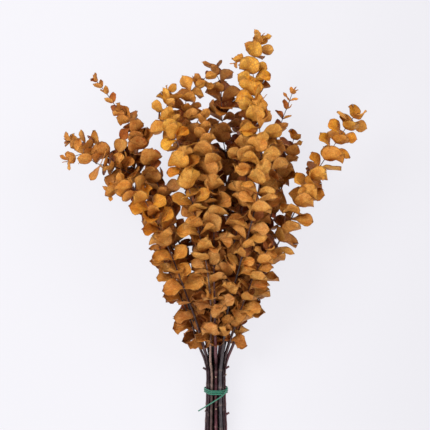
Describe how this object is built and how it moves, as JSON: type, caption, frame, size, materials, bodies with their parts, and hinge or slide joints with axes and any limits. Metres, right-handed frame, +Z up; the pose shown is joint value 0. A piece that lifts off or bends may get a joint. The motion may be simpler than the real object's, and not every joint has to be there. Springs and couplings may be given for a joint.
{
  "type": "bunch of dried eucalyptus",
  "caption": "Bunch of dried golden-brown eucalyptus stems with round leaves, tied with green wire and lying down",
  "frame": {"origin": "Middle of the bunch seen from above, on the surface that it lies on", "axes": "+Y along the bunch from the cut ends to the leaf tips, +Z up from the surface, +X across to the right"},
  "size_m": [0.4365, 0.6072, 0.1557],
  "materials": {
    "leaf": "matte, dry, finely veined leaves in golden brown",
    "bark": "dark purple-brown smooth bark with leaf scars",
    "tie": "satin green plastic coat on wire"
  },
  "bodies": {
    "root": {"leafy_stem_top_tall": "leaf", "leafy_stem_left_bright": "leaf", "leafy_stem_centre_front": "leaf", "leafy_stem_left_front": "leaf", "leafy_stem_right_arching": "leaf", "leafy_stem_right_low": "leaf", "leafy_stem_left_arching": "leaf", "leafy_stem_left_high": "leaf", "leafy_stem_left_low": "leaf", "leafy_stem_right_high": "leaf", "leafy_stem_centre_right": "leaf", "leafy_stem_centre_left": "leaf", "leafy_stem_centre_dark": "leaf", "leafy_stem_right_back": "leaf", "leafy_stem_centre_core": "leaf", "leafy_stem_centre_back": "leaf", "leafy_stem_left_under": "leaf", "leafy_stem_centre_under": "leaf", "leafy_stem_right_under": "leaf", "tie": "tie"}
  },
  "joints": []
}
